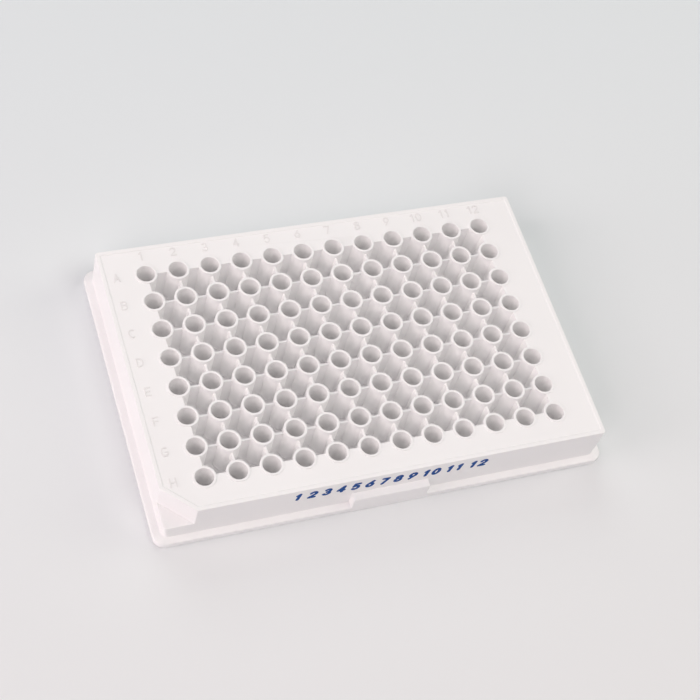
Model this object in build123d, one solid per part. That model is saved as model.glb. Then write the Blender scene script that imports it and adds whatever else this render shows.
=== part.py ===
# Ninety-six well microplate of the half-area kind, injection moulded in one
# piece: a skirt with a standing flange, a flat deck with a low raised border,
# ninety-six round wells at 9 mm pitch, thin webs that join the wells, and deep
# pockets between them, closed at the foot by one flat sheet.
#
# Frame: millimetres, +Z up, origin at the centre of the underside, column 12
# towards +X, row A towards +Y.
from build123d import *
import math
import os

# ---- driving dimensions ----------------------------------------------------
LENGTH = 127.76          # footprint along X, at the flange
WIDTH = 85.48            # footprint along Y, at the flange
HEIGHT = 14.35           # base to the well rims and the deck border
CORNER_R = 3.18          # plan radius of the flange corners

FLANGE_H = 2.41          # height of the flange above the base
FLANGE_TOP_R = 0.35      # rounding of the flange's upper edge
FLANGE_FOOT_R = 0.90     # rounding of the flange's lower edge
SKIRT = 1.30             # thickness of the walls, flange skin and shelf
FLANGE_SKIN = 1.25       # thickness of the flange's top

WALL_X = 61.60           # half size of the upper wall along X
WALL_Y = 40.50           # half size of the upper wall along Y
WALL_R = 0.90            # its vertical corner radius
WALL_FOOT_R = 2.00       # the same at the wall's foot
FOOT_FLARE = 0.15        # how far the lower wall leans out at its foot
SHELF_Z = 6.95           # height of the corner shelf and of the two tabs
CUT = 8.00               # size of the corner cut beside well H1
CUT_R = 0.70             # rounding of the cut's two vertical edges
DECK_EDGE_R = 0.25       # rounding of the deck's outer edge

TAB_HALF = 10.90         # half length of the tab in the middle of each long side
TAB_EDGE_R = 0.40        # rounding of its upper and lower edges

DECK_Z = 14.15           # top face of the deck
DECK_T = 1.35            # deck thickness
LIP_W = 1.05             # flat width of the raised border round the deck
LIP_SLOPE = 0.25         # run of the slope on its inner side

PITCH = 9.00
COLUMNS = 12
ROWS = 8
WELL_R = 2.48            # well radius
TUBE_R = 3.17            # outside radius of the well tube
RIM_C = 0.14             # chamfer of the rim's two edges
WELL_DEPTH = 10.90
FLOOR_T = 1.25           # thickness of the well floor
BOX_T = 1.00             # wall round the well field, outside the centre lines
WEB_T = 0.60             # thickness of the webs between wells
WEB_DROP = 1.28          # how far the webs stay below the rims
POCKET_Z = 3.10          # floor of the pockets between the wells

MARK_H = 0.18            # height of the raised row letters and column numbers
MARK_W = 0.34            # width of their strokes
MARK_TALL = 2.40
LETTER_X = -57.65        # where the row letters stand
NUMBER_Y = 37.45         # where the column numbers stand

X0 = -PITCH * (COLUMNS - 1) / 2
Y0 = PITCH * (ROWS - 1) / 2
FLOOR_Z = HEIGHT - WELL_DEPTH
TUBE_Z = FLOOR_Z - FLOOR_T
WEB_Z = HEIGHT - WEB_DROP


def up(z):
    return Location((0, 0, z))


def block(hx, hy, r, z0, z1):
    return up(z0) * extrude(RectangleRounded(2 * hx, 2 * hy, r), z1 - z0)


def outline(inset, cut_r, wall_r):
    """Plan of the upper wall, moved inwards by inset, with the H1 corner cut."""
    hx, hy = WALL_X - inset, WALL_Y - inset
    c = CUT - inset * (2 - math.sqrt(2))
    face = make_face(Polyline((-hx, hy), (hx, hy), (hx, -hy), (-hx + c, -hy),
                              (-hx, -hy + c), close=True))
    cut = [v for v in face.vertices()
           if v.X < -hx + c + 0.01 and v.Y < -hy + c + 0.01]
    square = [v for v in face.vertices() if v not in cut]
    face = fillet(square, wall_r)
    cut = [v for v in face.vertices()
           if (abs(v.X - (-hx + c)) < 0.01 and abs(v.Y + hy) < 0.01)
           or (abs(v.X + hx) < 0.01 and abs(v.Y - (-hy + c)) < 0.01)]
    return fillet(cut, cut_r)


def prism(face, z0, z1):
    return up(z0) * extrude(face, z1 - z0)


# ---- skirt, walls and deck -------------------------------------------------
flange = block(LENGTH / 2, WIDTH / 2, CORNER_R, 0, FLANGE_H)
flange = fillet(flange.edges().group_by(Axis.Z)[-1], FLANGE_TOP_R)
flange = fillet(flange.edges().group_by(Axis.Z)[0], FLANGE_FOOT_R)

lower = loft([
    up(FLANGE_H - 1.0) * RectangleRounded(2 * (WALL_X + FOOT_FLARE),
                                          2 * (WALL_Y + FOOT_FLARE),
                                          WALL_FOOT_R),
    up(SHELF_Z) * RectangleRounded(2 * WALL_X, 2 * WALL_Y, WALL_R)])

upper = prism(outline(0, CUT_R, WALL_R), SHELF_Z - 2.0, HEIGHT)
upper = fillet(upper.edges().group_by(Axis.Z)[-1], DECK_EDGE_R)
recess = loft([
    up(DECK_Z) * outline(LIP_W + LIP_SLOPE, CUT_R, 0.35),
    up(HEIGHT + 0.0) * outline(LIP_W, CUT_R, 0.35)])

tab = block(TAB_HALF, WIDTH / 2, 0.45, 0, SHELF_Z)
tab = fillet(tab.edges().group_by(Axis.Z)[-1], TAB_EDGE_R)
tab = fillet(tab.edges().group_by(Axis.Z)[0], TAB_EDGE_R)

plate = flange + lower + upper + tab
plate -= recess

# ---- hollow underside, one wall thickness inside the outer shape ------------
plate -= block(LENGTH / 2 - SKIRT, WIDTH / 2 - SKIRT, CORNER_R - SKIRT,
               -1.0, FLANGE_H - FLANGE_SKIN)
plate -= block(WALL_X - SKIRT, WALL_Y - SKIRT, 0.8, -1.0, SHELF_Z - SKIRT)
plate -= block(TAB_HALF - SKIRT, WIDTH / 2 - SKIRT, 0.8, -1.0,
               SHELF_Z - SKIRT)
plate -= prism(outline(SKIRT, 0.6, 0.8), SHELF_Z - SKIRT - 1.0,
               DECK_Z - DECK_T)

# ---- well field ------------------------------------------------------------
field_x = -X0 - WEB_T / 2
field_y = Y0 - WEB_T / 2
opening = up(0) * extrude(Rectangle(2 * field_x, 2 * field_y), HEIGHT + 1)
plate -= opening
plate += prism(Rectangle(2 * (-X0 + BOX_T), 2 * (Y0 + BOX_T))
               - Rectangle(2 * field_x, 2 * field_y),
               TUBE_Z, DECK_Z - DECK_T / 2)
plate += prism(Rectangle(2 * (-X0 + BOX_T / 2), 2 * (Y0 + BOX_T / 2)),
               TUBE_Z, POCKET_Z)

centres = [(X0 + PITCH * c, Y0 - PITCH * r)
           for r in range(ROWS) for c in range(COLUMNS)]
webs = [Pos(X0 + PITCH * c, 0, (TUBE_Z + WEB_Z) / 2)
        * Box(WEB_T, 2 * field_y + 0.5, WEB_Z - TUBE_Z)
        for c in range(1, COLUMNS - 1)]
webs += [Pos(0, Y0 - PITCH * r, (TUBE_Z + WEB_Z) / 2)
         * Box(2 * field_x + 0.5, WEB_T, WEB_Z - TUBE_Z)
         for r in range(1, ROWS - 1)]

# outside of a tube with its chamfered rim, and the bore with the rim's inside
tube_half = make_face(Polyline(
    (0, HEIGHT), (0, TUBE_Z), (TUBE_R, TUBE_Z), (TUBE_R, HEIGHT - RIM_C),
    (TUBE_R - RIM_C, HEIGHT), close=True))
bore_half = make_face(Polyline(
    (0, HEIGHT), (0, FLOOR_Z), (WELL_R, FLOOR_Z), (WELL_R, HEIGHT - RIM_C),
    (WELL_R + RIM_C, HEIGHT), close=True))
tube = revolve(Plane.XZ * tube_half, Axis.Z)
bore = revolve(Plane.XZ * bore_half, Axis.Z)

plate = plate.fuse(*webs, *[Pos(x, y, 0) * tube for x, y in centres])
plate = plate.cut(*[Pos(x, y, 0) * bore for x, y in centres])

# ---- raised row letters and column numbers ---------------------------------
def arc(cx, cy, rx, ry, a0, a1, n=6):
    return [(cx + rx * math.cos(math.radians(a0 + (a1 - a0) * i / n)),
             cy + ry * math.sin(math.radians(a0 + (a1 - a0) * i / n)))
            for i in range(n + 1)]


# strokes in a cell 0.64 wide and 1 tall
GLYPHS = {
    "A": [[(0, 0), (.32, 1), (.64, 0)], [(.11, .34), (.53, .34)]],
    "B": [[(0, 0), (0, 1), (.36, 1)] + arc(.36, .76, .24, .24, 90, -90)
          + [(0, .52)], [(.36, .52)] + arc(.38, .26, .26, .26, 90, -90)
          + [(0, 0)]],
    "C": [arc(.34, .5, .34, .5, 50, 310, 12)],
    "D": [[(0, 0), (0, 1), (.24, 1)] + arc(.24, .5, .40, .5, 90, -90, 8)
          + [(0, 0)]],
    "E": [[(.58, 1), (0, 1), (0, 0), (.60, 0)], [(0, .52), (.50, .52)]],
    "F": [[(.58, 1), (0, 1), (0, 0)], [(0, .52), (.50, .52)]],
    "G": [arc(.34, .5, .34, .5, 50, 330, 12) + [(.64, .44), (.38, .44)]],
    "H": [[(0, 0), (0, 1)], [(.62, 0), (.62, 1)], [(0, .52), (.62, .52)]],
    "0": [arc(.32, .5, .30, .5, 90, 450, 14)],
    "1": [[(.14, .78), (.36, 1), (.36, 0)]],
    "2": [arc(.32, .71, .29, .29, 165, -35, 8) + [(.03, 0), (.62, 0)]],
    "3": [arc(.30, .74, .26, .26, 150, -90, 8),
          arc(.30, .25, .31, .25, 90, -150, 8)],
    "4": [[(.46, 0), (.46, 1), (0, .28), (.62, .28)]],
    "5": [[(.57, 1), (.10, 1), (.05, .52)]
          + arc(.30, .32, .31, .32, 120, -140, 10)],
    "6": [[(.50, 1), (.10, .50)] + arc(.32, .31, .30, .31, 150, -210, 12)],
    "7": [[(.02, 1), (.61, 1), (.22, 0)]],
    "8": [arc(.32, .76, .25, .24, 90, 450, 12),
          arc(.32, .26, .30, .26, 90, 450, 12)],
    "9": [[(.14, 0), (.54, .50)] + arc(.32, .69, .30, .31, -30, 330, 12)],
}


def capsule(p, q, w):
    """Plan of one straight stroke with round ends."""
    d = math.dist(p, q)
    a = math.degrees(math.atan2(q[1] - p[1], q[0] - p[0]))
    return (Location(((p[0] + q[0]) / 2, (p[1] + q[1]) / 2, 0), (0, 0, a))
            * SlotCenterToCenter(d, w))


def mark(text, cx, cy):
    """Raised characters centred on a point of the deck."""
    advance = 0.94 * MARK_TALL * 0.72 + 0.2
    shapes = []
    for n, ch in enumerate(text):
        ox = cx + (n - (len(text) - 1) / 2) * advance - 0.32 * MARK_TALL
        oy = cy - MARK_TALL / 2
        for line in GLYPHS[ch]:
            pts = [(ox + x * MARK_TALL, oy + y * MARK_TALL) for x, y in line]
            shapes += [capsule(p, q, MARK_W) for p, q in zip(pts, pts[1:])
                       if math.dist(p, q) > 0.02]
    flat = shapes[0].fuse(*shapes[1:]) if len(shapes) > 1 else shapes[0]
    return prism(flat, DECK_Z - 0.2, DECK_Z + MARK_H)


marks = [mark("ABCDEFGH"[r], LETTER_X, Y0 - PITCH * r) for r in range(ROWS)]
marks += [mark(str(c + 1), X0 + PITCH * c, NUMBER_Y) for c in range(COLUMNS)]
plate = plate.fuse(*[s for m in marks for s in m.solids()])

plate = plate.clean()
solid = plate.solids()[0] if len(plate.solids()) == 1 else plate
print("solids", len(plate.solids()), "volume", round(plate.volume, 1))
os.makedirs("parts", exist_ok=True)
export_step(solid, "parts/plate.step")
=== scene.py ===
import math

import bpy
from mathutils import Matrix, Vector


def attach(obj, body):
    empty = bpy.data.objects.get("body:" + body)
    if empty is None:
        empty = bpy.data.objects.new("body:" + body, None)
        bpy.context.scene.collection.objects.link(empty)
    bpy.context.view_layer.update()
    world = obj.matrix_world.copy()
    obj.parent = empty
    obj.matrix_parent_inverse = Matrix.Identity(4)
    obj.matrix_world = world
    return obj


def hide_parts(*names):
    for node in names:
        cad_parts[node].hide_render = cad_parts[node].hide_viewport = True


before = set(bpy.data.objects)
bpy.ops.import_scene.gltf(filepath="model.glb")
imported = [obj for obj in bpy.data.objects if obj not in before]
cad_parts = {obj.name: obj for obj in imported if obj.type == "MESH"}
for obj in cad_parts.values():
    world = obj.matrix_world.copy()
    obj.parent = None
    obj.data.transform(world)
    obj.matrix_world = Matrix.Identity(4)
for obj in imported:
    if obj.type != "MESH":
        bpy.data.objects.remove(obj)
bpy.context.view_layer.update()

# ---------------------------------------------------------------- dimensions
# millimetres, the same as the CAD; objects are scaled to metres when made
LENGTH, WIDTH, HEIGHT = 127.76, 85.48, 14.35
CORNER_R = 3.18
FLANGE_H, FLANGE_TOP_R, FLANGE_FOOT_R = 2.41, 0.35, 0.90
SKIRT, FLANGE_SKIN = 1.30, 1.25
WALL_X, WALL_Y, WALL_R, WALL_FOOT_R = 61.60, 40.50, 0.90, 2.00
FOOT_FLARE, SHELF_Z = 0.15, 6.95
CUT, CUT_R, DECK_EDGE_R = 8.00, 0.70, 0.25
TAB_HALF = 10.90
DECK_Z, DECK_T, LIP_W, LIP_SLOPE = 14.15, 1.35, 1.05, 0.25
PITCH, COLUMNS, ROWS = 9.0, 12, 8
WELL_R, TUBE_R, RIM_R = 2.48, 3.17, 0.17
WELL_DEPTH, FLOOR_T, BOX_T = 10.90, 1.25, 1.00
WEB_T, WEB_DROP = 0.60, 1.28
MARK_H, MARK_W, MARK_TALL = 0.18, 0.34, 2.40
POCKET_Z = 3.10                 # floor of the pockets between the wells
LETTER_X, NUMBER_Y = -57.65, 37.45
X0, Y0 = -PITCH * (COLUMNS - 1) / 2, PITCH * (ROWS - 1) / 2
FLOOR_Z = HEIGHT - WELL_DEPTH
TUBE_Z = FLOOR_Z - FLOOR_T
WEB_Z = HEIGHT - WEB_DROP
ROUND = 56                      # segments round a well


# ---------------------------------------------------------------- mesh tools
def make(name, verts, faces):
    me = bpy.data.meshes.new(name)
    me.from_pydata([(x * 0.001, y * 0.001, z * 0.001) for x, y, z in verts], [], faces)
    me.validate()
    ob = bpy.data.objects.new(name, me)
    bpy.context.scene.collection.objects.link(ob)
    return ob


def round_poly(points, radii, n):
    """Anticlockwise polygon with each corner rounded by n segments."""
    out = []
    m = len(points)
    for i, (p, r) in enumerate(zip(points, radii)):
        a, b = Vector(points[i - 1]), Vector(points[(i + 1) % m])
        p = Vector(p)
        u, v = (a - p).normalized(), (b - p).normalized()
        half = u.angle(v) / 2
        t = r / math.tan(half)
        c = p + (u + v).normalized() * (r / math.sin(half))
        s, e = p + u * t - c, p + v * t - c
        turn = math.atan2(s.x * e.y - s.y * e.x, s.dot(e))
        for k in range(n + 1):
            w = turn * k / n
            out.append((c.x + s.x * math.cos(w) - s.y * math.sin(w),
                        c.y + s.x * math.sin(w) + s.y * math.cos(w)))
    return out


def rrect(hx, hy, r, n=8, cx=0.0, cy=0.0):
    return round_poly([(cx - hx, cy - hy), (cx + hx, cy - hy), (cx + hx, cy + hy), (cx - hx, cy + hy)],
                      [r] * 4, n)


def outline(inset, cut_r, wall_r, n=6):
    """The upper wall's plan moved inwards by inset, with the H1 corner cut."""
    hx, hy = WALL_X - inset, WALL_Y - inset
    c = CUT - inset * (2 - math.sqrt(2))
    return round_poly([(-hx + c, -hy), (hx, -hy), (hx, hy), (-hx, hy), (-hx, -hy + c)],
                      [cut_r, wall_r, wall_r, wall_r, cut_r], n)


def circle(r, cx, cy, n=ROUND):
    return [(cx + r * math.cos(2 * math.pi * (k + 0.5) / n), cy + r * math.sin(2 * math.pi * (k + 0.5) / n))
            for k in range(n)]


def stack(loops, verts=None, faces=None):
    """A closed solid through plan loops of equal length, from the lowest up."""
    verts = [] if verts is None else verts
    faces = [] if faces is None else faces
    first = len(verts)
    n = len(loops[0][0])
    for pts, z in loops:
        verts += [(x, y, z) for x, y in pts]
    for i in range(len(loops) - 1):
        a, b = first + i * n, first + (i + 1) * n
        for k in range(n):
            l = (k + 1) % n
            faces.append((a + k, a + l, b + l, b + k))
    faces.append(tuple(first + k for k in reversed(range(n))))
    last = first + (len(loops) - 1) * n
    faces.append(tuple(last + k for k in range(n)))
    return verts, faces


def solid(name, loops):
    return make(name, *stack(loops))


def quarter(n):
    return [math.pi / 2 * k / n for k in range(n + 1)]


def combine(target, tool, operation):
    mod = target.modifiers.new("b", "BOOLEAN")
    mod.operation = operation
    mod.solver = "MANIFOLD"
    mod.object = tool
    deps = bpy.context.evaluated_depsgraph_get()
    me = bpy.data.meshes.new_from_object(target.evaluated_get(deps), depsgraph=deps)
    target.modifiers.clear()
    old = target.data
    target.data = me
    bpy.data.meshes.remove(old)
    old = tool.data
    bpy.data.objects.remove(tool)
    bpy.data.meshes.remove(old)
    return target


# ------------------------------------------------------------ the moulding
def skirt_solid():
    hx, hy = LENGTH / 2, WIDTH / 2
    loops = []
    for a in quarter(4):
        i = FLANGE_FOOT_R * (1 - math.sin(a))
        loops.append((rrect(hx - i, hy - i, CORNER_R - i), FLANGE_FOOT_R * (1 - math.cos(a))))
    for a in quarter(6):
        i = FLANGE_TOP_R * (1 - math.cos(a))
        loops.append((rrect(hx - i, hy - i, CORNER_R - i), FLANGE_H - FLANGE_TOP_R * (1 - math.sin(a))))
    f = 0.25                                     # fillet where the wall meets the flange
    drop = SHELF_Z - FLANGE_H + 1.0

    def wall(z, inset):
        t = (SHELF_Z - z) / drop
        o = FOOT_FLARE * t + inset
        return rrect(WALL_X + o, WALL_Y + o, WALL_R + (WALL_FOOT_R - WALL_R) * t + inset), z
    for a in quarter(4):
        loops.append(wall(FLANGE_H + f * (1 - math.cos(a)), f * (1 - math.sin(a))))
    r = 0.22
    for a in quarter(4):
        loops.append(wall(SHELF_Z - r * (1 - math.sin(a)), -r * (1 - math.cos(a))))
    return solid("plate_shell", loops)


def deck_solid():
    loops = [(outline(0, CUT_R, WALL_R), SHELF_Z - 2.0)]
    for a in quarter(4):
        i = DECK_EDGE_R * (1 - math.cos(a))
        loops.append((outline(i, CUT_R - i, WALL_R - i), HEIGHT - DECK_EDGE_R * (1 - math.sin(a))))
    return solid("deck", loops)


def recess_solid():
    loops = []
    n = 6
    for k in range(n + 1):
        s = k / n
        e = s * s * (3 - 2 * s)
        loops.append((outline(LIP_W + LIP_SLOPE * (1.15 - 1.3 * s), 0.5, 0.35), DECK_Z + (HEIGHT - DECK_Z) * e))
    loops.append((outline(LIP_W - 0.04, 0.5, 0.35), HEIGHT + 0.02))
    return solid("recess", loops)


def tab_solid(side):
    half, mid = 2.2, WIDTH / 2 - 2.2
    loops = []
    for a in quarter(4):
        i = 0.40 * (1 - math.sin(a))
        loops.append((rrect(TAB_HALF - i, half - i, 0.45 - i, 5, 0, side * mid), 0.40 * (1 - math.cos(a))))
    for a in quarter(5):
        i = 0.40 * (1 - math.cos(a))
        loops.append((rrect(TAB_HALF - i, half - i, 0.45 - i, 5, 0, side * mid), SHELF_Z - 0.40 * (1 - math.sin(a))))
    return solid("tab", loops)


def prism(name, pts, z0, z1):
    return solid(name, [(pts, z0), (pts, z1)])


def tubes(name, centres, profile):
    verts, faces = [], []
    for cx, cy in centres:
        stack([(circle(r, cx, cy), z) for r, z in profile], verts, faces)
    return make(name, verts, faces)


def web_bars(name, along_x):
    """Parallel webs with a rounded top edge."""
    verts, faces = [], []
    h, r = WEB_T / 2, 0.05
    section = [(-h, TUBE_Z), (h, TUBE_Z)]
    section += [(h - r * (1 - math.cos(a)), WEB_Z - r * (1 - math.sin(a))) for a in quarter(3)]
    section += [(-h + r * (1 - math.cos(a)), WEB_Z - r * (1 - math.sin(a))) for a in reversed(quarter(3))]
    n = len(section)
    if along_x:
        places = [Y0 - PITCH * r_ for r_ in range(1, ROWS - 1)]
        reach = -X0 + 0.3
    else:
        places = [X0 + PITCH * c for c in range(1, COLUMNS - 1)]
        reach = Y0 + 0.3
    for p in places:
        first = len(verts)
        for end in (-reach, reach):
            for t, z in section:
                verts.append((end, p + t, z) if along_x else (p + t, end, z))
        for k in range(n):
            l = (k + 1) % n
            quad = (first + k, first + l, first + n + l, first + n + k)
            faces.append(quad if along_x else tuple(reversed(quad)))
        lo = tuple(first + k for k in range(n))
        hi = tuple(first + n + k for k in range(n))
        faces.append(tuple(reversed(lo)) if along_x else lo)
        faces.append(hi if along_x else tuple(reversed(hi)))
    return make(name, verts, faces)


def arc(cx, cy, rx, ry, a0, a1, n=6):
    return [(cx + rx * math.cos(math.radians(a0 + (a1 - a0) * i / n)),
             cy + ry * math.sin(math.radians(a0 + (a1 - a0) * i / n))) for i in range(n + 1)]


# strokes in a cell 0.64 wide and 1 tall, the same as the CAD's
GLYPHS = {
    "A": [[(0, 0), (.32, 1), (.64, 0)], [(.11, .34), (.53, .34)]],
    "B": [[(0, 0), (0, 1), (.36, 1)] + arc(.36, .76, .24, .24, 90, -90)
          + [(0, .52)], [(.36, .52)] + arc(.38, .26, .26, .26, 90, -90) + [(0, 0)]],
    "C": [arc(.34, .5, .34, .5, 50, 310, 12)],
    "D": [[(0, 0), (0, 1), (.24, 1)] + arc(.24, .5, .40, .5, 90, -90, 8) + [(0, 0)]],
    "E": [[(.58, 1), (0, 1), (0, 0), (.60, 0)], [(0, .52), (.50, .52)]],
    "F": [[(.58, 1), (0, 1), (0, 0)], [(0, .52), (.50, .52)]],
    "G": [arc(.34, .5, .34, .5, 50, 330, 12) + [(.64, .44), (.38, .44)]],
    "H": [[(0, 0), (0, 1)], [(.62, 0), (.62, 1)], [(0, .52), (.62, .52)]],
    "0": [arc(.32, .5, .30, .5, 90, 450, 14)],
    "1": [[(.14, .78), (.36, 1), (.36, 0)]],
    "2": [arc(.32, .71, .29, .29, 165, -35, 8) + [(.03, 0), (.62, 0)]],
    "3": [arc(.30, .74, .26, .26, 150, -90, 8), arc(.30, .25, .31, .25, 90, -150, 8)],
    "4": [[(.46, 0), (.46, 1), (0, .28), (.62, .28)]],
    "5": [[(.57, 1), (.10, 1), (.05, .52)] + arc(.30, .32, .31, .32, 120, -140, 10)],
    "6": [[(.50, 1), (.10, .50)] + arc(.32, .31, .30, .31, 150, -210, 12)],
    "7": [[(.02, 1), (.61, 1), (.22, 0)]],
    "8": [arc(.32, .76, .25, .24, 90, 450, 12), arc(.32, .26, .30, .26, 90, 450, 12)],
    "9": [[(.14, 0), (.54, .50)] + arc(.32, .69, .30, .31, -30, 330, 12)],
}


def capsule(p, q, w, n=6):
    """Plan of one straight stroke with round ends, anticlockwise."""
    a = math.atan2(q[1] - p[1], q[0] - p[0])
    out = [(q[0] + w / 2 * math.cos(a + t), q[1] + w / 2 * math.sin(a + t))
           for t in [math.pi * (k / n - 0.5) for k in range(n + 1)]]
    return out + [(p[0] + w / 2 * math.cos(a + t), p[1] + w / 2 * math.sin(a + t))
                  for t in [math.pi * (k / n + 0.5) for k in range(n + 1)]]


def strokes(ch, ox, oy, tall, w):
    """Plans of a character's strokes, with its cell's lower left at ox, oy."""
    out = []
    for line in GLYPHS[ch]:
        pts = [(ox + x * tall, oy + y * tall) for x, y in line]
        out += [capsule(p, q, w) for p, q in zip(pts, pts[1:]) if math.dist(p, q) > 0.02]
    return out


def glyph_solid(plans, z0, z1):
    """One solid from overlapping strokes."""
    body = None
    for pts in plans:
        cx = sum(p[0] for p in pts) / len(pts)
        part = prism("stroke", pts, z0, z1)
        body = part if body is None else combine(body, part, "UNION")
    return body


def join(name, obs):
    """Several separate solids as one object."""
    verts, faces = [], []
    for ob in obs:
        first = len(verts)
        verts += [tuple(c * 1000 for c in v.co) for v in ob.data.vertices]
        faces += [tuple(first + i for i in p.vertices) for p in ob.data.polygons]
        me_ = ob.data
        bpy.data.objects.remove(ob)
        bpy.data.meshes.remove(me_)
    return make(name, verts, faces)


def marks():
    advance = 0.94 * MARK_TALL * 0.72 + 0.2
    out = []
    places = [("ABCDEFGH"[r], LETTER_X, Y0 - PITCH * r) for r in range(ROWS)]
    places += [(str(c + 1), X0 + PITCH * c, NUMBER_Y) for c in range(COLUMNS)]
    for text, cx, cy in places:
        for n, ch in enumerate(text):
            ox = cx + (n - (len(text) - 1) / 2) * advance - 0.32 * MARK_TALL
            out.append(glyph_solid(strokes(ch, ox, cy - MARK_TALL / 2, MARK_TALL, MARK_W),
                                   DECK_Z - 0.2, DECK_Z + MARK_H))
    return join("marks", out)


def plate_mesh():
    body = skirt_solid()
    combine(body, deck_solid(), "UNION")
    combine(body, tab_solid(1), "UNION")
    combine(body, tab_solid(-1), "UNION")
    combine(body, recess_solid(), "DIFFERENCE")
    combine(body, prism("k1", rrect(LENGTH / 2 - SKIRT, WIDTH / 2 - SKIRT, CORNER_R - SKIRT), -1, FLANGE_H - FLANGE_SKIN), "DIFFERENCE")
    combine(body, prism("k2", rrect(WALL_X - SKIRT, WALL_Y - SKIRT, 0.8), -1, SHELF_Z - SKIRT), "DIFFERENCE")
    combine(body, prism("k3", rrect(TAB_HALF - SKIRT, WIDTH / 2 - SKIRT, 0.8), -1, SHELF_Z - SKIRT), "DIFFERENCE")
    combine(body, prism("k4", outline(SKIRT, 0.6, 0.8), SHELF_Z - SKIRT - 1, DECK_Z - DECK_T), "DIFFERENCE")
    fx, fy = -X0 - WEB_T / 2, Y0 - WEB_T / 2
    sq = [(-1, -1), (1, -1), (1, 1), (-1, 1)]
    combine(body, prism("k5", [(fx * a, fy * b) for a, b in sq], -1, HEIGHT + 1), "DIFFERENCE")
    ring = prism("ring", [((-X0 + BOX_T) * a, (Y0 + BOX_T) * b) for a, b in sq], TUBE_Z, DECK_Z - DECK_T / 2)
    combine(ring, prism("k6", [(fx * a, fy * b) for a, b in sq], -1, HEIGHT + 1), "DIFFERENCE")
    combine(body, ring, "UNION")
    combine(body, prism("sheet", [((-X0 + 0.5) * a, (Y0 + 0.5) * b) for a, b in sq], TUBE_Z, POCKET_Z), "UNION")
    combine(body, web_bars("webs_x", True), "UNION")
    combine(body, web_bars("webs_y", False), "UNION")
    centres = [(X0 + PITCH * c, Y0 - PITCH * r) for r in range(ROWS) for c in range(COLUMNS)]
    outside = [(TUBE_R - 0.15, TUBE_Z), (TUBE_R, TUBE_Z + 0.15)]
    outside += [(TUBE_R - RIM_R * (1 - math.cos(a)), HEIGHT - RIM_R * (1 - math.sin(a))) for a in quarter(3)]
    inside = [(WELL_R - 0.35 * (1 - math.sin(a)), FLOOR_Z + 0.35 * (1 - math.cos(a))) for a in quarter(3)]
    inside += [(WELL_R + RIM_R * (1 - math.cos(a)), HEIGHT - RIM_R * (1 - math.sin(a))) for a in quarter(3)]
    inside += [(WELL_R + RIM_R, HEIGHT + 0.5)]
    combine(body, tubes("tubes", centres, outside), "UNION")
    combine(body, tubes("bores", centres, inside), "DIFFERENCE")
    combine(body, marks(), "UNION")
    return body


def smooth(ob, angle=40.0):
    me = ob.data
    me.shade_smooth() if hasattr(me, "shade_smooth") else [setattr(p, "use_smooth", True) for p in me.polygons]
    me.set_sharp_from_angle(angle=math.radians(angle))
    mod = ob.modifiers.new("normals", "WEIGHTED_NORMAL")
    mod.mode = "FACE_AREA"
    mod.weight = 50
    mod.keep_sharp = True


# --------------------------------------------------------------- materials
def material(name):
    m = bpy.data.materials.new(name)
    m.use_nodes = True
    return m, m.node_tree.nodes, m.node_tree.links


def node(nodes, kind, **inputs):
    n = nodes.new(kind)
    for k, v in inputs.items():
        setattr(n, k, v)
    return n


def plastic():
    """Opaque white polystyrene with a satin moulded grain all over."""
    m, nodes, links = material("white_polystyrene")
    p = nodes["Principled BSDF"]
    p.inputs["IOR"].default_value = 1.55
    p.inputs["Specular IOR Level"].default_value = 0.45
    coords = node(nodes, "ShaderNodeTexCoord")
    # very slight unevenness of the white
    cloud = node(nodes, "ShaderNodeTexNoise")
    cloud.inputs["Scale"].default_value = 45.0
    cloud.inputs["Detail"].default_value = 3.0
    links.new(coords.outputs["Object"], cloud.inputs["Vector"])
    ramp = node(nodes, "ShaderNodeValToRGB")
    ramp.color_ramp.elements[0].position, ramp.color_ramp.elements[1].position = 0.35, 0.65
    ramp.color_ramp.elements[0].color = (0.938, 0.934, 0.935, 1)
    ramp.color_ramp.elements[1].color = (0.951, 0.947, 0.948, 1)
    links.new(cloud.outputs["Fac"], ramp.inputs["Fac"])
    links.new(ramp.outputs["Color"], p.inputs["Base Color"])
    # moulded grain
    grain = node(nodes, "ShaderNodeTexNoise")
    grain.inputs["Scale"].default_value = 3200.0
    grain.inputs["Detail"].default_value = 2.0
    links.new(coords.outputs["Object"], grain.inputs["Vector"])
    rough = node(nodes, "ShaderNodeMapRange")
    rough.inputs["To Min"].default_value, rough.inputs["To Max"].default_value = 0.40, 0.52
    links.new(grain.outputs["Fac"], rough.inputs["Value"])
    links.new(rough.outputs["Result"], p.inputs["Roughness"])
    bump = node(nodes, "ShaderNodeBump")
    bump.inputs["Strength"].default_value = 0.12
    bump.inputs["Distance"].default_value = 0.00002
    links.new(grain.outputs["Fac"], bump.inputs["Height"])
    links.new(bump.outputs["Normal"], p.inputs["Normal"])
    return m


def plastic_variant(name, dark, light, rough):
    """The same plastic with another colour range and another finish; used here for painted shade."""
    m = plastic()
    m.name = name
    for n in m.node_tree.nodes:
        if n.type == "VALTORGB":
            n.color_ramp.elements[0].color, n.color_ramp.elements[1].color = (*dark, 1), (*light, 1)
        if n.type == "MAP_RANGE":
            n.inputs["To Min"].default_value, n.inputs["To Max"].default_value = rough
    return m


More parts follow.
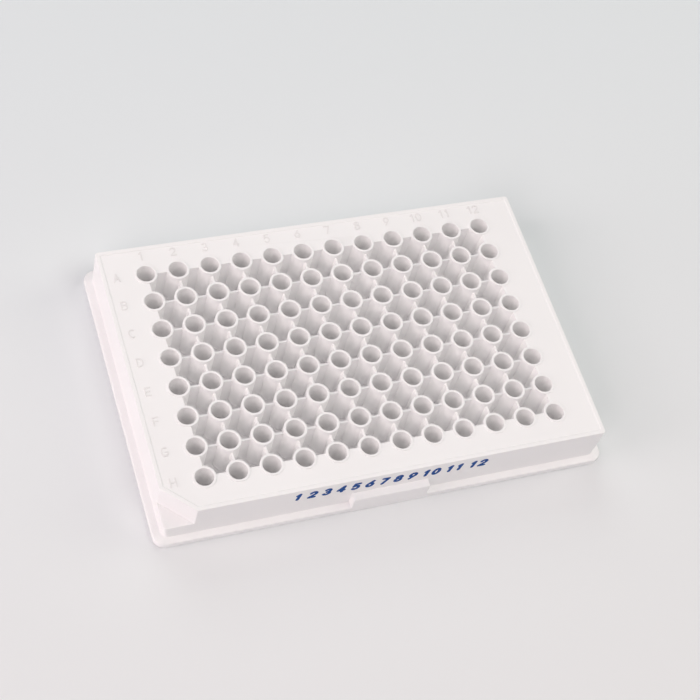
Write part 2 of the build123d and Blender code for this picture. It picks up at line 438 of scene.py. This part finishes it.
def colour_faces(ob):
    """Slot 1 is the raised row letters and column numbers, and slot 2 the inside of the wells; both are painted
    darker as painted shade.
    """
    for poly in ob.data.polygons:
        x, y, z = (c * 1000 for c in poly.center)
        slot = 0
        if DECK_Z + 0.01 < z < DECK_Z + MARK_H + 0.01:
            near_letter = abs(x - LETTER_X) < 1.4 and abs(y) < Y0 + 2
            near_number = abs(y - NUMBER_Y) < 1.5 and abs(x) < -X0 + 3
            slot = 1 if near_letter or near_number else 0
        if FLOOR_Z - 0.01 < z < HEIGHT - RIM_R + 0.01 and abs(x) < -X0 + WELL_R and abs(y) < Y0 + WELL_R:
            cx = X0 + PITCH * round((x - X0) / PITCH)
            cy = Y0 + PITCH * round((y - Y0) / PITCH)
            if math.hypot(x - cx, y - cy) < WELL_R + 0.01:
                slot = 2
        poly.material_index = slot


def blue_ink():
    m, nodes, links = material("blue_ink")
    p = nodes["Principled BSDF"]
    p.inputs["IOR"].default_value = 1.5
    p.inputs["Specular IOR Level"].default_value = 0.15
    coords = node(nodes, "ShaderNodeTexCoord")
    spot = node(nodes, "ShaderNodeTexNoise")
    spot.inputs["Scale"].default_value = 2500.0
    spot.inputs["Detail"].default_value = 3.0
    links.new(coords.outputs["Object"], spot.inputs["Vector"])
    ramp = node(nodes, "ShaderNodeValToRGB")
    ramp.color_ramp.elements[0].position, ramp.color_ramp.elements[1].position = 0.25, 0.75
    ramp.color_ramp.elements[0].color = (0.002, 0.063, 0.270, 1)
    ramp.color_ramp.elements[1].color = (0.003, 0.078, 0.330, 1)
    links.new(spot.outputs["Fac"], ramp.inputs["Fac"])
    links.new(ramp.outputs["Color"], p.inputs["Base Color"])
    rough = node(nodes, "ShaderNodeMapRange")
    rough.inputs["To Min"].default_value, rough.inputs["To Max"].default_value = 0.50, 0.65
    links.new(spot.outputs["Fac"], rough.inputs["Value"])
    links.new(rough.outputs["Result"], p.inputs["Roughness"])
    bump = node(nodes, "ShaderNodeBump")
    bump.inputs["Strength"].default_value = 0.15
    bump.inputs["Distance"].default_value = 0.00001
    links.new(spot.outputs["Fac"], bump.inputs["Height"])
    links.new(bump.outputs["Normal"], p.inputs["Normal"])
    return m


plate = plate_mesh()
plate.name = plate.data.name = "plate_moulding"
smooth(plate)
plate.data.materials.clear()
plate.data.materials.append(plastic())
# the raised characters are painted a little greyer, as painted shade of their relief; the bores are painted a darker
# grey, as painted shade of the deep wells, and are polished
plate.data.materials.append(plastic_variant("white_polystyrene_marks_painted_shade", (0.852, 0.840, 0.838), (0.872, 0.860, 0.858), (0.30, 0.40)))
plate.data.materials.append(plastic_variant("white_polystyrene_wells_painted_shade", (0.920, 0.915, 0.915), (0.934, 0.929, 0.929), (0.24, 0.34)))
colour_faces(plate)
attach(plate, "root")
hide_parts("plate")


# ------------------------------------------------------------- printed digits
def print_line():
    """Plain bold numbers 1 to 12 printed in ink on the front wall."""
    tall, width, line, gap, space, lean = 3.75, 2.60, 0.96, 0.22, 1.38, 0.18
    texts = [str(c + 1) for c in range(COLUMNS)]
    total = sum(len(t) * width + (len(t) - 1) * gap for t in texts) + space * (len(texts) - 1)
    x = left = -total / 2 - 0.25
    out = []
    for t in texts:
        for ch in t:
            base = 9.05 - 0.55 * (x - left) / total
            plans = []
            for pts in GLYPHS[ch]:
                pts = [(x + line / 2 + px / 0.64 * (width - line), base + line / 2 + pz * (tall - line)) for px, pz in pts]
                pts = [(px + lean * (pz - base - tall / 2), pz) for px, pz in pts]
                plans += [capsule(p, q, line) for p, q in zip(pts, pts[1:]) if math.dist(p, q) > 0.05]
            out.append(plans)
            x += width + gap
        x += space - gap
    return out


def ink_solids():
    obs = []
    for placed in print_line():
        body = None
        for pts in placed:
            part = prism("s", pts, 0.0, 1.0)
            body = part if body is None else combine(body, part, "UNION")
        obs.append(body)
    ob = join("ink_numbers", obs)
    for v in ob.data.vertices:           # from plan to the wall: y up becomes z up
        x, y, h = v.co.x, v.co.y, v.co.z * 1000
        wall = -WALL_Y * 0.001
        v.co = Vector((x, wall + (0.02 if h < 0.5 else -0.015) * 0.001, y))
    ob.data.update()
    return ob


ink = ink_solids()
ink.name = ink.data.name = "printed_numbers"
ink.data.materials.clear()
ink.data.materials.append(blue_ink())
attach(ink, "root")
print("triangles", {o.name: sum(len(p.vertices) - 2 for p in o.data.polygons) for o in (plate, ink)})

# ------------------------------------------------------------- stage, light
me = bpy.data.meshes.new("floor")
s = 3.0
me.from_pydata([(-s, -s, 0), (s, -s, 0), (s, s, 0), (-s, s, 0)], [], [(0, 1, 2, 3)])
floor = bpy.data.objects.new("floor", me)
bpy.context.scene.collection.objects.link(floor)
m, nodes, links = material("pale_floor")
p = nodes["Principled BSDF"]
p.inputs["Roughness"].default_value = 0.7
p.inputs["Specular IOR Level"].default_value = 0.2
# painted light falloff: the floor's colour shifts from a slightly brighter, redder tint in front to a bluer one at
# the back
geo = node(nodes, "ShaderNodeNewGeometry")
axis = node(nodes, "ShaderNodeSeparateXYZ")
links.new(geo.outputs["Position"], axis.inputs["Vector"])
painted_falloff = node(nodes, "ShaderNodeMapRange")
painted_falloff.interpolation_type = "SMOOTHSTEP"
painted_falloff.inputs["From Min"].default_value, painted_falloff.inputs["From Max"].default_value = -0.16, 0.16
links.new(axis.outputs["Y"], painted_falloff.inputs["Value"])
ramp = node(nodes, "ShaderNodeValToRGB")
ramp.color_ramp.elements[0].color = (0.819, 0.829, 0.838, 1)
ramp.color_ramp.elements[1].color = (0.788, 0.831, 0.849, 1)
links.new(painted_falloff.outputs["Result"], ramp.inputs["Fac"])
links.new(ramp.outputs["Color"], p.inputs["Base Color"])
me.materials.append(m)


def panel(name, azimuth, elevation, power, size=0.6, distance=1.2, color=(1.0, 0.955, 0.945)):
    """A soft square light panel that faces the object."""
    li = bpy.data.lights.new(name, "AREA")
    li.shape = "SQUARE"
    li.size = size
    li.energy = power
    li.color = color
    ob = bpy.data.objects.new(name, li)
    bpy.context.scene.collection.objects.link(ob)
    a, e = math.radians(azimuth), math.radians(elevation)
    at = Vector((math.cos(a) * math.cos(e), math.sin(a) * math.cos(e), math.sin(e))) * distance
    ob.location = at
    ob.rotation_euler = (-at).to_track_quat("-Z", "Y").to_euler()
    return ob


rose, warm, soft, cool = (1.0, 0.880, 0.870), (1.0, 0.960, 0.855), (1.0, 0.972, 0.912), (0.96, 0.980, 0.945)
panel("left_low", 180, 15, 4.00, color=rose)
panel("left", 180, 35, 2.60, color=rose)
panel("left_front", 225, 35, 3.95, color=rose)
panel("right", 0, 35, 3.52, color=warm)
panel("front_right", 315, 60, 3.65, color=soft)
panel("back", 90, 35, 2.93, color=cool)
panel("back_top", 90, 60, 1.19, color=cool)
world = bpy.data.worlds.new("studio")
bpy.context.scene.world = world
world.use_nodes = True
wn, wl = world.node_tree.nodes, world.node_tree.links
sky = wn["Background"]
sky.inputs["Color"].default_value = (0.84, 0.82, 0.98, 1)
path = wn.new("ShaderNodeLightPath")
level = wn.new("ShaderNodeMapRange")
level.inputs["To Min"].default_value, level.inputs["To Max"].default_value = 0.158, 1.0
wl.new(path.outputs["Is Camera Ray"], level.inputs["Value"])
wl.new(level.outputs["Result"], sky.inputs["Strength"])

# ------------------------------------------------------------------- camera
cam = bpy.data.cameras.new("camera")
cam.sensor_width = 36.0
cam.lens = 36.0 * 1644.6 / 700
cam.clip_start = 0.01
cam_ob = bpy.data.objects.new("camera", cam)
bpy.context.scene.collection.objects.link(cam_ob)
fwd = Vector((0.31442, 0.45889, -0.83100))
up = Vector((0.15501, 0.83883, 0.52186))
right = fwd.cross(up).normalized()
fwd = (fwd + (up - right) * (0.5 / 1644.6)).normalized()
up = right.cross(fwd).normalized()
right = fwd.cross(up).normalized()
rot = Matrix((right, up, -fwd)).transposed()
cam_ob.matrix_world = Matrix.Translation((-0.14095, -0.20677, 0.37021 + 0.01435)) @ rot.to_4x4()
bpy.context.scene.camera = cam_ob

scene = bpy.context.scene
scene.view_settings.view_transform = "Standard"
scene.cycles.diffuse_bounces = 16        # light finds its way out of deep white wells
scene.cycles.glossy_bounces = 6
scene.cycles.max_bounces = 20
